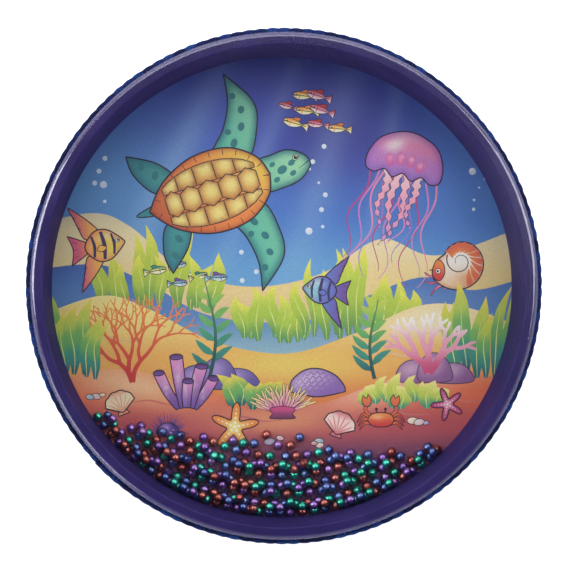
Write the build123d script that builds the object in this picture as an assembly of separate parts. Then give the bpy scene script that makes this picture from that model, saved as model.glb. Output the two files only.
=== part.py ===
from build123d import *

import cmath
import itertools
import math
import os
import random

# Ocean drum: a round shell with a film head on each face and loose beads shut in between them.
# Millimetres. The drum lies on its printed head, +Z runs up the axis through the clear head,
# and the origin is on the axis at the face that the drum rests on.

# Shell
SHELL_DIAMETER = 304.0  # outside
SHELL_WALL = 7.5
SHELL_DEPTH = 63.0
OUTER_ROUND = 3.0  # the edges that the film is drawn over
INNER_ROUND = 0.8

# Film heads, drawn over the shell's edges and glued to its side
FILM = 0.25
COLLAR = 14.0  # from the face of the drum down to the film's cut edge
GLUE = 0.15
GLUE_WIDTH = 9.0

# Woven band round the side, whose end laps over its beginning
BAND_COVER = 6.25  # how much of each collar the band covers
BAND_THICKNESS = 2.5
BAND_EDGE_ROUND = 0.9
LAP_LENGTH = 48.0
LAP_RISE = 0.8
LAP_HEADING = 223.0  # degrees from +X to the end of the lap

# Drilled beads, piled against the shell's wall
BEAD = 6.0
BEAD_HOLE = 1.3
BEAD_GAP = 0.25  # kept between a bead and whatever it lies against
BEAD_RINGS = 4  # the pile is cut into rings about the axis, each free to run round by itself
LOOSE_SPACE = 0.2  # mean of the uneven space between neighbours at the wall
NEST_REACH = 1.9  # beads up to this many pitches apart take another one between them
CARRY_REACH = 1.45  # beads up to this many pitches apart carry another one on top
CARRY_SPREAD = 0.75  # pitches across the head from a bead on top to those that carry it
PERCH = 1.6  # how far a ring's upper layer lies in from its lower layer
PILE_HEADING = -95.5  # degrees from +X to the middle of the pile
FRONT_REACH = 23.0  # degrees that the innermost ring reaches each side of the heading
FRONT_STRAY = 8.0  # how far a bead at the front may lie from its fellows
TAIL = 4.5  # degrees that the outermost ring runs on past the level of the pile
COLOURS = ("teal", "violet", "indigo", "copper")
SEED = 11

shell_r = SHELL_DIAMETER / 2
bore_r = shell_r - SHELL_WALL
shell_low = FILM
shell_high = FILM + SHELL_DEPTH
drum_high = shell_high + FILM
collar_r = shell_r + GLUE + FILM
band_r = collar_r + BAND_THICKNESS
band_low = COLLAR - BAND_COVER
band_high = drum_high - band_low
bead_low_z = FILM + BEAD_GAP + BEAD / 2
bead_pitch = BEAD + BEAD_GAP
nest_step = bead_pitch * math.sqrt(3) / 2
ring_pitch = bead_pitch + nest_step


def block(x_low, x_high, z_low, z_high):
    """A rectangle of radius x and height z, to be turned about the axis."""
    middle = Pos((x_low + x_high) / 2, (z_low + z_high) / 2)
    return middle * Rectangle(x_high - x_low, z_high - z_low)


def rounded(section, corners, radius):
    return fillet(corners(section.vertices()), radius)


def outside(vertices):
    return vertices.group_by(Axis.X)[-1]


def inside(vertices):
    return vertices.group_by(Axis.X)[0]


def upper_outside(vertices):
    return outside(vertices).sort_by(Axis.Y)[-1:]


def turned(section):
    return revolve(Plane.XZ * section, Axis.Z)


def shell():
    section = block(bore_r, shell_r, shell_low, shell_high)
    section = rounded(section, outside, OUTER_ROUND)
    return turned(rounded(section, inside, INNER_ROUND))


def cup(radius, high, edge_round):
    """A solid with the outline of a head that is drawn down to the end of its collar."""
    section = block(0, radius, drum_high - COLLAR, high)
    return turned(rounded(section, upper_outside, edge_round))


def clear_head():
    under_round = OUTER_ROUND + GLUE
    film = cup(collar_r, drum_high, under_round + FILM)
    return film - cup(collar_r - FILM, shell_high, under_round)


def front_glue_ring():
    glue_low = drum_high - COLLAR
    return turned(block(shell_r, shell_r + GLUE, glue_low, glue_low + GLUE_WIDTH))


def at_back(piece):
    """The same round piece, turned over to the other face of the drum."""
    return Pos(0, 0, drum_high) * Rot(180, 0, 0) * piece


def lap():
    """The end of the band, which rises out of the turn below it and stops at a cut edge."""
    end = math.radians(LAP_HEADING)
    start = end + LAP_LENGTH / band_r
    middle = (start + end) / 2

    def spot(radius, angle):
        return (radius * math.cos(angle), radius * math.sin(angle))

    root_r = band_r - BAND_THICKNESS / 2
    root_start, root_end = spot(root_r, start), spot(root_r, end)
    top_start, top_end = spot(band_r, start), spot(band_r + LAP_RISE, end)
    outline = [
        ThreePointArc(root_start, spot(root_r, middle), root_end),
        Line(root_end, top_end),
        ThreePointArc(top_end, spot(band_r + LAP_RISE * 0.6, middle), top_start),
        Line(top_start, root_start),
    ]
    lap_low, lap_high = band_low + BAND_EDGE_ROUND, band_high - BAND_EDGE_ROUND
    return Pos(0, 0, lap_low) * extrude(make_face(outline), lap_high - lap_low, dir=(0, 0, 1))


def woven_band():
    section = block(collar_r, band_r, band_low, band_high)
    return turned(rounded(section, outside, BAND_EDGE_ROUND)) + lap()


# The pile is laid out about a heading along +X and turned to its own heading at the end.
# A place in it is a complex number, across the printed head from the axis.


def ring_radius(ring):
    """Radius of a ring's outer row of beads."""
    return bore_r - BEAD_GAP - BEAD / 2 - ring * ring_pitch


def nearness(ring):
    """1 for the ring at the wall, 0 for the innermost."""
    return 1 - ring / (BEAD_RINGS - 1)


pile_level = ring_radius(BEAD_RINGS - 1) * math.cos(math.radians(FRONT_REACH))


def in_pile(place, ring):
    """Whether a place lies under the level of the pile, or in the tail that runs on along the wall."""
    reach = math.acos(min(1, pile_level / abs(place))) + math.radians(TAIL) * nearness(ring) ** 2
    return abs(cmath.phase(place)) < reach


def fits(place, rise, beads):
    slip = 1e-6
    return all(math.hypot(abs(place - other), rise - height) > bead_pitch - slip for other, height in beads)


def outer_row(ring, dice):
    """Places along the ring's outer edge, spaced so that the beads that nest inside them fit too."""
    radius = ring_radius(ring)
    closest = bead_pitch * radius / (radius - nest_step)
    angle = -math.pi / 2
    while angle < math.pi / 2:
        if in_pile(cmath.rect(radius, angle), ring):
            yield cmath.rect(radius, angle)
        angle += (closest + dice.expovariate(1 / (LOOSE_SPACE * (ring + 1)))) / radius


def nested(a, b):
    """The place that touches two neighbours of the outer row, on their inner side."""
    half = (b - a) / 2
    return (a + b) / 2 + 1j * half / abs(half) * math.sqrt(bead_pitch**2 - abs(half) ** 2)


def hollow_between(a, b, c):
    """The place on top of three beads, its rise above them and how far it is from each."""
    b, c = b - a, c - a
    across = 2 * (b.conjugate() * c).imag
    centre = 1j * (b * abs(c) ** 2 - c * abs(b) ** 2) / across
    return a + centre, math.sqrt(max(0, bead_pitch**2 - abs(centre) ** 2)), abs(centre)


def perch_between(a, b):
    """The place on top of two beads of the inner row, leaning in over the ring's edge, and its rise."""
    middle = (a + b) / 2
    place = middle - cmath.rect(PERCH, cmath.phase(middle))
    return place, math.sqrt(bead_pitch**2 - abs(place - a) ** 2)


def upper_layer(ring, outer, inner, dice):
    """Beads on top of the lower layer, fewer towards the front of the pile."""
    spots = []
    for trio in itertools.combinations(outer + inner, 3):
        if max(abs(trio[i] - trio[i - 1]) for i in range(3)) < CARRY_REACH * bead_pitch:
            place, rise, spread = hollow_between(*trio)
            if spread < CARRY_SPREAD * bead_pitch and abs(place) < ring_radius(ring) - PERCH:
                spots.append((place, rise))
    for a, b in zip(inner, inner[1:]):
        if abs(b - a) < CARRY_REACH * bead_pitch:
            spots.append(perch_between(a, b))
    dice.shuffle(spots)
    lower = [(place, 0) for place in outer + inner]
    upper = []
    for place, rise in spots:
        if dice.random() < math.sqrt(nearness(ring)) and fits(place, rise, lower + upper):
            upper.append((place, rise))
    return upper


def inner_row(ring, outer):
    """Beads that nest inside the ring's outer row."""
    inner = []
    for a, b in zip(outer, outer[1:]):
        if abs(b - a) < NEST_REACH * bead_pitch:
            place = nested(a, b)
            if in_pile(place, ring) and fits(place, 0, [(other, 0) for other in outer + inner]):
                inner.append(place)
    return inner


def strayed(place, dice):
    return place - cmath.rect(FRONT_STRAY * dice.random() ** 3, cmath.phase(place))


def ring_beads(ring, dice):
    """Place and rise of every bead of a ring."""
    outer = list(outer_row(ring, dice))
    inner = inner_row(ring, outer)
    if ring == BEAD_RINGS - 1:
        inner = [strayed(place, dice) for place in inner]
    lower = [(place, 0) for place in outer + inner]
    return lower + upper_layer(ring, outer, inner, dice)


def colour_order(dice):
    """Colours without end, mixed but evenly shared."""
    while True:
        yield from dice.sample(COLOURS, len(COLOURS))


def drilled_bead():
    return Sphere(BEAD / 2) - Cylinder(BEAD_HOLE / 2, 2 * BEAD)


def bead_nodes():
    """The beads of each ring and colour, by the name of their node."""
    dice = random.Random(SEED)
    bead = drilled_bead()
    heading = cmath.rect(1, math.radians(PILE_HEADING))
    nodes = {}
    for ring in range(BEAD_RINGS):
        for (place, rise), colour in zip(ring_beads(ring, dice), colour_order(dice)):
            spot = place * heading
            turn = (dice.uniform(0, 180), dice.uniform(0, 180), 0)
            here = Location((spot.real, spot.imag, bead_low_z + rise), turn)
            nodes.setdefault(f"{colour}_beads_ring_{ring + 1}", []).append(here * bead)
    return nodes


def write(name, solids):
    export_step(Compound(children=list(solids)), os.path.join("parts", name + ".step"))


def main():
    os.makedirs("parts", exist_ok=True)
    front_head, front_glue = clear_head(), front_glue_ring()
    write("shell", shell().solids())
    write("clear_head", front_head.solids())
    write("printed_head", at_back(front_head).solids())
    write("front_glue_ring", front_glue.solids())
    write("back_glue_ring", at_back(front_glue).solids())
    write("woven_band", woven_band().solids())
    beads = bead_nodes()
    for name, copies in beads.items():
        write(name, [solid for copy in copies for solid in copy.solids()])
    print("beads:", sum(len(copies) for copies in beads.values()), "in", len(beads), "nodes")


main()
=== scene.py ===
import cmath
import math
import random
from contextlib import contextmanager

import bmesh
import bpy
import numpy as np
from mathutils import Matrix, Vector
from mathutils.geometry import delaunay_2d_cdt


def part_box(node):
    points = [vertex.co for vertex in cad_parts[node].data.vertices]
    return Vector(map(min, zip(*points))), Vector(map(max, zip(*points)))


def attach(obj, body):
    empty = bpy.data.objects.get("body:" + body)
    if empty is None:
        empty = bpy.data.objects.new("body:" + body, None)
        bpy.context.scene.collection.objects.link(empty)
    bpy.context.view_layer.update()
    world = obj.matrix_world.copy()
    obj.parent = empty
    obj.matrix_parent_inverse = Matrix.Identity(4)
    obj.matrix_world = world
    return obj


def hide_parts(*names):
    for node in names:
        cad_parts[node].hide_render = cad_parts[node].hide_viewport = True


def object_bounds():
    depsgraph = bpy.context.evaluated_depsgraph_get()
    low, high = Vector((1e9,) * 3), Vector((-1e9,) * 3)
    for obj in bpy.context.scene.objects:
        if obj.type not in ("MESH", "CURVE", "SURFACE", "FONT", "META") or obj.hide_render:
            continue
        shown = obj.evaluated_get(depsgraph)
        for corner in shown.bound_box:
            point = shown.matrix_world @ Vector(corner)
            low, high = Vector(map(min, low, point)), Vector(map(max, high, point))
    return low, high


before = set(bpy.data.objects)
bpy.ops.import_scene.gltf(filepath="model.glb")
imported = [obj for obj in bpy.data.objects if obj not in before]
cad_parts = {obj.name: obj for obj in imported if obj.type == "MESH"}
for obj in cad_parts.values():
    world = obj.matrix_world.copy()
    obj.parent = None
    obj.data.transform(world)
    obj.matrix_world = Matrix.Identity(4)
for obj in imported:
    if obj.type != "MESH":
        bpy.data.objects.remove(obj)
cad_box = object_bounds()

MM = 0.001


def off_axis(point):
    """Distance of a point from the drum's axis."""
    return math.hypot(point.x, point.y)


def reach(node):
    """Least and greatest distance of a node from the drum's axis."""
    spans = [off_axis(v.co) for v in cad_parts[node].data.vertices]
    return min(spans), max(spans)


def heights(node):
    return (corner.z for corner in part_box(node))


# Sizes that the frame gives, in metres
drum_low, drum_high = cad_box[0][2], cad_box[1][2]
bore_r, shell_r = reach("shell")
shell_low, shell_high = heights("shell")
collar_r = reach("clear_head")[1]
collar_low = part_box("clear_head")[0].z
band_inner_r = reach("woven_band")[0]
band_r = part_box("woven_band")[1].x
band_low, band_high = heights("woven_band")
film = drum_high - shell_high
bead_low, bead_high = heights("teal_beads_ring_4")  # one layer
bead_r = (bead_high - bead_low) / 2

# Sizes that it doesn't give
INNER_ROUND, OUTER_ROUND = 0.8 * MM, 3.0 * MM  # the shell's edges
SHOULDER = 3.4 * MM  # round of a film where it turns over the shell's edge
NEAR = 0.01 * MM  # as good as touching
MERGE = 0.001 * MM  # corners this close are one

AROUND = 256  # steps that round pieces are cut into


# Modelling by hand

def pick(*pieces):
    """Selects pieces and nothing else, and makes the first one active."""
    bpy.ops.object.select_all(action="DESELECT")
    for piece in pieces:
        piece.select_set(True)
    bpy.context.view_layer.objects.active = pieces[0]


def fresh(name, add, stretch=(1, 1, 1), **settings):
    """Adds a primitive with nothing else selected, and puts its place and size into its mesh."""
    bpy.ops.object.select_all(action="DESELECT")
    add(**settings)
    piece = bpy.context.object
    piece.name = piece.data.name = name
    piece.scale = stretch
    bpy.ops.object.transform_apply(location=True, rotation=True, scale=True)
    return piece


@contextmanager
def editing(piece, mode="EDGE"):
    """Edit mode with nothing selected."""
    pick(piece)
    bpy.ops.object.mode_set(mode="EDIT")
    bpy.ops.mesh.select_mode(type=mode)
    bpy.ops.mesh.select_all(action="DESELECT")
    yield
    bpy.ops.object.mode_set(mode="OBJECT")


def choose(piece, kind, test):
    """Selects the vertices, edges or faces that pass a test, and nothing else."""
    bpy.ops.mesh.select_all(action="DESELECT")
    mesh = bmesh.from_edit_mesh(piece.data)
    for element in getattr(mesh, kind):
        if test(element):
            element.select_set(True)
    mesh.select_flush_mode()
    bmesh.update_edit_mesh(piece.data)


def choose_open_edges(piece):
    choose(piece, "edges", lambda e: e.is_boundary)


def draw_out(rise, growth=1):
    """Extrudes the chosen edges along the axis, and widens the new ones about it."""
    bpy.ops.mesh.extrude_edges_move(TRANSFORM_OT_translate={"value": (0, 0, rise)})
    bpy.ops.transform.resize(value=(growth, growth, 1), center_override=(0, 0, 0))


def face_outwards():
    bpy.ops.mesh.select_all(action="SELECT")
    bpy.ops.mesh.normals_make_consistent(inside=False)


def thicken(piece, **settings):
    """Gives a film its thickness, inwards."""
    pick(piece)
    modifier = piece.modifiers.new("Solidify", "SOLIDIFY")
    modifier.thickness = film
    modifier.offset = -1
    for key, value in settings.items():
        setattr(modifier, key, value)
    bpy.ops.object.modifier_apply(modifier=modifier.name)


def smooth(piece, degrees=40):
    pick(piece)
    bpy.ops.object.shade_smooth_by_angle(angle=math.radians(degrees))


def dress(piece, *materials):
    piece.data.materials.clear()
    for material in materials:
        piece.data.materials.append(material)


# Materials

def light(colours):
    """Display values from 0 to 255, as light."""
    values = np.clip(colours, 0, 255) / 255
    return np.where(values <= 0.04045, values / 12.92, ((values + 0.055) / 1.055) ** 2.4)


class Finish:
    """A material that is built up node by node."""

    def __init__(self, name):
        self.material = bpy.data.materials.new(name)
        self.material.use_nodes = True
        self.tree = self.material.node_tree
        self.shader = self.tree.nodes["Principled BSDF"]
        self.place = self.node("TexCoord").outputs["Object"]

    def node(self, kind, inputs=None, **settings):
        node = self.tree.nodes.new("ShaderNode" + kind)
        for key, value in settings.items():
            setattr(node, key, value)
        for key, value in (inputs or {}).items():
            self.feed(node.inputs[key], value)
        return node

    def feed(self, socket, value):
        if isinstance(value, bpy.types.NodeSocket):
            self.tree.links.new(value, socket)
        else:
            socket.default_value = value

    def set(self, **values):
        for key, value in values.items():
            name = key.replace("_", " ").title().replace("Ior", "IOR")
            self.feed(self.shader.inputs[name], value)

    def stretched(self, scale):
        return self.node("Mapping", {"Vector": self.place, "Scale": scale}).outputs["Vector"]

    def from_axis(self, near, far, most=1.0):
        """Rises from 0 to the most between two distances from the drum's axis."""
        flat = self.node("VectorMath", {0: self.place, 1: (1, 1, 0)}, operation="MULTIPLY")
        away = self.node("VectorMath", {0: flat.outputs["Vector"]}, operation="LENGTH")
        inputs = {"Value": away.outputs["Value"], "From Min": near, "From Max": far, "To Max": most}
        return self.node("MapRange", inputs).outputs["Result"]

    def noise(self, scale, detail, vector=None):
        inputs = {"Vector": vector or self.place, "Scale": scale, "Detail": detail}
        return self.node("TexNoise", inputs).outputs["Fac"]

    def ramp(self, factor, *stops):
        node = self.node("ValToRGB", {"Fac": factor})
        elements = node.color_ramp.elements
        while len(elements) < len(stops):
            elements.new(0.5)
        for element, (place, colour) in zip(elements, stops):
            element.position = place
            element.color = (*colour, 1)
        return node.outputs["Color"]

    def attribute(self, name, output="Fac"):
        return self.node("Attribute", attribute_name=name).outputs[output]

    def math(self, operation, *values):
        return self.node("Math", dict(enumerate(values)), operation=operation).outputs["Value"]

    def multiplied(self, a, b):
        """One colour times another."""
        inputs = {0: 1.0, 6: a, 7: b}
        return self.node("Mix", inputs, data_type="RGBA", blend_type="MULTIPLY").outputs[2]

    def layered(self, factor, below, above):
        inputs = {0: factor, 1: below.outputs[0], 2: above.outputs[0]}
        return self.node("MixShader", inputs)

    def bump(self, height, strength, distance):
        inputs = {"Height": height, "Strength": strength, "Distance": distance}
        return self.node("Bump", inputs).outputs["Normal"]


def purple_paint(name, shine, roughness, *tones):
    """Paint with a soft mottle, and with fine streaks that run round the drum."""
    finish = Finish(name)
    mottle = finish.noise(38, 4)
    streaks = finish.noise(1.0, 3, finish.stretched((60, 60, 900)))
    shade = finish.math("MULTIPLY_ADD", streaks, 0.35, finish.math("MULTIPLY", mottle, 0.65))
    finish.set(
        base_color=finish.ramp(shade, *zip((0.3, 0.5, 0.72), light(tones))),
        roughness=finish.math("MULTIPLY_ADD", streaks, 0.2, roughness),
        specular_ior_level=shine,
        normal=finish.bump(streaks, 0.12, 0.4 * MM),
    )
    return finish.material


# painted shade: the rim's purple is darker than the lining's, though the shell is one paint
def rim_paint():
    return purple_paint("purple_rim", 0.25, 0.28, (29, 20, 71), (34, 24, 79), (41, 30, 87))


# painted light: the lining is the same purple made lighter and bluer, for light on the inner wall
def lining_paint():
    return purple_paint("purple_lining", 0.02, 0.45, (45, 36, 91), (51, 42, 100), (59, 49, 110))


# Rings of the clear film, by how far in from the collar's face they are
HAZY = 2.0 * MM  # the bent film is haziest from here outwards
RUB_START, RUB_END = 1.4 * MM, 0.8 * MM  # handling has dulled it more and more between these
RUBBED = 0.65  # part of the gloss that is gone at the end of that
MOST_GLOSS, MOST_HAZE = 0.06, 0.022


def clear_film():
    """Clear film with a faint gloss, hazy where it is bent and dull where hands have rubbed it."""
    finish = Finish("clear_polyester")
    tree = finish.tree
    tree.nodes.remove(finish.shader)
    ripple = finish.bump(finish.noise(14, 1), 0.05, 2 * MM)
    inputs = {"Color": (0.9, 0.9, 1.0, 1), "Roughness": 0.09, "Normal": ripple}
    gloss = finish.node("BsdfGlossy", inputs)
    clear = finish.node("BsdfTransparent", {"Color": (0.985, 0.985, 0.99, 1)})
    haze = finish.node("BsdfDiffuse", {"Color": (0.78, 0.77, 0.92, 1)})
    facing = finish.node("Fresnel", {"IOR": 1.6, "Normal": ripple}).outputs["Fac"]
    rubbed = finish.from_axis(collar_r - RUB_START, collar_r - RUB_END, RUBBED)
    shine = finish.math("MINIMUM", facing, MOST_GLOSS)
    shine = finish.math("MULTIPLY", shine, finish.math("SUBTRACT", 1.0, rubbed))
    bend = finish.from_axis(collar_r - SHOULDER, collar_r - HAZY, MOST_HAZE)
    surface = finish.layered(bend, finish.layered(shine, clear, gloss), haze)
    tree.links.new(surface.outputs[0], tree.nodes["Material Output"].inputs["Surface"])
    return finish.material


def printed_film():
    """Film that is painted corner by corner, under a fine speckle."""
    finish = Finish("printed_polyester")
    speck = finish.ramp(finish.noise(900, 2), (0.3, (0.68, 0.675, 0.64)), (0.7, (0.78, 0.775, 0.735)))
    finish.set(base_color=finish.multiplied(finish.attribute("paint", "Color"), speck), roughness=0.5)
    return finish.material


def blue_webbing():
    """Yarns in several blues, with twisted strands striped in painted highlight and shade, and painted
    shade in between.
    """
    finish = Finish("blue_yarn")
    fibre = finish.noise(1400, 3)
    twist = finish.math("SINE", finish.attribute("ply"))
    tone = finish.math("MULTIPLY", fibre, 0.4)
    tone = finish.math("MULTIPLY_ADD", finish.attribute("yarn"), 0.6, tone)
    # painted highlight and shade: the strands' sine makes the tone lighter and darker in stripes along
    # each yarn
    tone = finish.math("MULTIPLY_ADD", twist, 0.09, tone)
    blues = light(((9, 16, 52), (16, 32, 84), (27, 58, 120)))
    colour = finish.ramp(tone, *zip((0.2, 0.5, 0.85), blues))
    # painted shade: the colour darkens to a quarter where a yarn dips under its neighbours, for the shade
    # between yarns
    shade = finish.ramp(finish.attribute("raised"), (0.0, (0.25, 0.25, 0.3)), (0.6, (1, 1, 1)))
    strands = finish.math("MULTIPLY_ADD", twist, 0.6, fibre)
    finish.set(
        base_color=finish.multiplied(colour, shade), roughness=0.82, specular_ior_level=0.15,
        sheen_weight=0.1, sheen_roughness=0.5, sheen_tint=(0.35, 0.5, 1, 1),
        normal=finish.bump(strands, 0.7, 0.4 * MM),
    )
    return finish.material


def set_glue():
    finish = Finish("set_glue")
    cloud = finish.noise(160, 3)
    colour = finish.ramp(cloud, *zip((0.3, 0.7), light(((66, 58, 108), (88, 80, 130)))))
    finish.set(base_color=colour, roughness=0.3)
    return finish.material


BEAD_TINTS = {
    "teal": ((9, 180, 146), (58, 216, 184)),
    "violet": ((138, 91, 184), (180, 132, 211)),
    "indigo": ((79, 104, 178), (114, 144, 209)),
    "copper": ((174, 72, 60), (208, 112, 96)),
}


def bead_lacquer(colour):
    finish = Finish(colour + "_lacquer")
    tint = finish.ramp(finish.attribute("tint"), *zip((0, 1), light(BEAD_TINTS[colour])))
    finish.set(
        base_color=tint, metallic=1.0, roughness=0.4, specular_tint=(0.12, 0.12, 0.16, 1),
        coat_weight=1.0, coat_roughness=0.12, coat_ior=1.65,
        normal=finish.bump(finish.noise(900, 2), 0.04, 0.2 * MM),
    )
    return finish.material


# The shell

RIM_TILT = 0.8  # upright part of the normal, from which a face belongs to the rim


def shell_ring():
    """The section of the wall, with its corners rounded, spun about the axis."""
    wall, deep = shell_r - bore_r, shell_high - shell_low
    piece = fresh(
        "shell_ring", bpy.ops.mesh.primitive_plane_add, (wall, deep, 1), size=1,
        location=(bore_r + wall / 2, 0, shell_low + deep / 2), rotation=(math.pi / 2, 0, 0),
    )
    with editing(piece, "VERT"):
        bpy.ops.mesh.select_all(action="SELECT")
        bpy.ops.mesh.delete(type="ONLY_FACE")
        for side, radius in ((bore_r, INNER_ROUND), (shell_r, OUTER_ROUND)):
            choose(piece, "verts", lambda v: abs(v.co.x - side) < NEAR)
            bpy.ops.mesh.bevel(offset=radius, segments=8, affect="VERTICES")
        bpy.ops.mesh.select_all(action="SELECT")
        bpy.ops.mesh.spin(steps=AROUND, angle=2 * math.pi, center=(0, 0, 0), axis=(0, 0, 1))
        bpy.ops.mesh.select_all(action="SELECT")
        bpy.ops.mesh.remove_doubles(threshold=MERGE)
        face_outwards()
    smooth(piece)
    # rim and lining take the darker and the lighter copy of one purple, painted shade and painted light
    dress(piece, rim_paint(), lining_paint())
    for face in piece.data.polygons:
        face.material_index = int(abs(face.normal.z) < RIM_TILT)
    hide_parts("shell")
    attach(piece, "drum")


# The clear head

def clear_drumhead():
    """A disc whose rim is drawn down into a collar over a rounded shoulder."""
    piece = fresh(
        "clear_drumhead", bpy.ops.mesh.primitive_circle_add,
        vertices=AROUND, radius=collar_r, fill_type="NGON", location=(0, 0, drum_high),
    )
    with editing(piece):
        choose_open_edges(piece)
        draw_out(collar_low - drum_high)
        choose(piece, "edges", lambda e: all(v.co.z > drum_high - film / 2 for v in e.verts))
        bpy.ops.mesh.bevel(offset=SHOULDER, segments=10, affect="EDGES")
        face_outwards()
    thicken(piece)
    smooth(piece)
    dress(piece, clear_film())
    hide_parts("clear_head")
    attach(piece, "drum")


# The picture: an airbrushed reef, in millimetres from the axis, with places as complex numbers

PRINT_R = 148.6  # the picture ends here, where the film begins to turn up
INK = (42, 28, 48)
PERIWINKLE = (104, 124, 204)
AQUA = (150, 212, 222)
LAVENDER = (182, 166, 214)
VIOLET = (120, 84, 168)
CREAM = (244, 228, 192)
SALMON = (238, 166, 136)
CORAL = (228, 104, 78)
RED = (208, 54, 58)
ORANGE = (240, 140, 64)
YELLOW = (244, 222, 88)
LEMON = (250, 240, 150)
LIME = (198, 214, 84)
GREEN = (112, 180, 98)
TEAL = (58, 150, 134)
DEEP_TEAL = (30, 98, 116)
PINK = (240, 166, 192)
ROSE = (224, 92, 136)
MAGENTA = (188, 60, 124)
WHITE = (250, 248, 244)

shapes = []  # outline and paint, each over those before it


def curve(*points, closed=True, step=1.5):
    """A smooth line through points, with a corner at a point that is given twice."""
    points = [points[-1], *points, *points[:2]] if closed else [points[0], *points, points[-1]]
    line = []
    for before, start, end, after in zip(points, points[1:], points[2:], points[3:]):
        t = np.linspace(0, 1, max(2, round(abs(end - start) / step) + 1))[:-1]
        bend = 2 * before - 5 * start + 4 * end - after
        twist = 3 * start - before - 3 * end + after
        if start != end:
            line.append(start + ((end - before) * t + bend * t**2 + twist * t**3) / 2)
    if not closed:
        line.append([points[-1]])
    return np.concatenate(line)


def path(*points, step=1.5):
    """The same line, left open."""
    return curve(*points, closed=False, step=step)


def heading(degrees, length=1):
    """A step of a length in a direction."""
    return cmath.rect(length, math.radians(degrees))


def oval(centre, across, high=None, turn=0, count=None):
    count = count or max(8, round(4 * across))
    round_it = np.exp(2j * np.pi * np.arange(count) / count)
    shape = across * round_it.real + 1j * (high or across) * round_it.imag
    return centre + shape * heading(turn)


def ribbon(spine, *widths):
    """A band along a line, as wide as the widths at even steps of it."""
    spine = np.asarray(spine)
    along = np.gradient(spine)
    side = 1j * along / np.maximum(np.abs(along), 1e-6)
    half = np.interp(np.linspace(0, 1, len(spine)), np.linspace(0, 1, len(widths)), widths) / 2
    return np.concatenate([spine + side * half, (spine - side * half)[::-1]])


def grown(outline, width):
    """The outline moved outwards all round."""
    along = np.roll(outline, -1) - np.roll(outline, 1)
    return outline - 1j * width * along / np.maximum(np.abs(along), 1e-6)


def counterclockwise(outline):
    area = (outline.conj() * np.roll(outline, -1)).imag.sum()
    return outline if area > 0 else outline[::-1]


def kept_in(outline):
    return outline * np.minimum(1, PRINT_R / np.maximum(np.abs(outline), 1))


def both_sides(*points):
    """Points along one side of the X axis, then their mirror images back again."""
    return [*points, *(point.conjugate() for point in reversed(points))]


def hinged(outline, pivot, degrees):
    return pivot + (outline - pivot) * heading(degrees)


def tone(paint):
    """A paint gives each of some spots its colour. A plain colour becomes such a paint here."""
    if callable(paint):
        return paint
    return lambda spots: np.tile(np.array(paint, float), (len(spots), 1))


def fade(start, end, *colours):
    """Colours that run into one another from one place to another."""
    table = np.array(colours, float)

    def paint(spots):
        run = ((spots - start) * np.conj(end - start)).real / abs(end - start) ** 2
        run = np.clip(run, 0, 1) * (len(table) - 1)
        low = np.minimum(run.astype(int), len(table) - 2)
        part = (run - low)[:, None]
        part = part * part * (3 - 2 * part)
        return table[low] * (1 - part) + table[low + 1] * part

    return paint


def mixed_in(colour, weight, paint, spots):
    """The colours that a paint gives, with another one mixed in by a weight for each spot."""
    weight = weight[:, None]
    return paint(spots) * (1 - weight) + np.array(colour) * weight


def glow(paint, colour, centre, across, high=None, turn=0, strength=1.0):
    """A soft airbrushed patch over a paint."""
    paint = tone(paint)

    def lit(spots):
        off = (spots - centre) * heading(-turn)
        span = (off.real / across) ** 2 + (off.imag / (high or across)) ** 2
        return mixed_in(colour, strength * np.exp(-span), paint, spots)

    return lit


def rimmed(paint, outline, colour, width, strength):
    """A paint that turns to another colour near the outline."""
    def shaded(spots):
        span = np.abs(spots[:, None] - outline[None, :]).min(axis=1)
        return mixed_in(colour, strength * np.exp(-((span / width) ** 2)), paint, spots)

    return shaded


class Motif:
    """Shapes that are drawn about an origin of their own and stand at a place in the picture."""

    def __init__(self, place=0, size=1, turn=0, flip=False):
        self.place, self.scale, self.flip = place, heading(turn, size), flip

    def out(self, points):
        points = np.asarray(points)
        return self.place + self.scale * (-points.conj() if self.flip else points)

    def back(self, spots):
        points = (spots - self.place) / self.scale
        return -points.conj() if self.flip else points

    def draw(self, outline, paint, ink=0, rim=None):
        """Adds a shape, inked round its edge, its paint turning to the rim's colour there."""
        paint = tone(paint)
        outline = counterclockwise(kept_in(self.out(outline)))
        if rim:
            paint = rimmed(paint, self.back(outline), *rim)
        if ink:
            shapes.append((grown(outline, ink / 2), tone(INK)))
            outline = grown(outline, -ink / 2)
        shapes.append((outline, lambda spots: paint(self.back(spots))))

    def line(self, spine, paint, *widths, ink=0):
        self.draw(ribbon(spine, *widths), paint, ink)

    def dot(self, centre, radius, paint, ink=0):
        self.draw(oval(centre, radius), paint, ink)


page = Motif()


def ground(ridge, paint):
    """Land from a ridge down to the bottom of the picture."""
    ridge = path(*ridge, step=2.5)
    turns = np.linspace(cmath.phase(ridge[-1]), cmath.phase(ridge[0] * -1) - math.pi, 90)
    page.draw(np.concatenate([ridge, PRINT_R * np.exp(1j * turns)]), paint)


def water():
    paint = fade(140j, -40j, (60, 72, 176), (64, 90, 194), (70, 122, 208), (104, 168, 222), AQUA)
    paint = glow(paint, (96, 156, 214), -112+62j, 66, 56, strength=0.85)
    paint = glow(paint, (76, 128, 204), 118+78j, 46, 60, strength=0.8)
    paint = glow(paint, (44, 42, 132), 34+96j, 46, 34, strength=0.7)
    rays = ((-70, 64, 10, 0.34), (-16, 70, 7, 0.26), (26, 74, 12, 0.3), (64, 80, 6, 0.24))
    for foot, lean, width, strength in rays:
        paint = glow(paint, (176, 210, 236), foot + 74j, 95, width, lean, strength)
    page.draw(oval(0, PRINT_R, count=240), paint)


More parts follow.
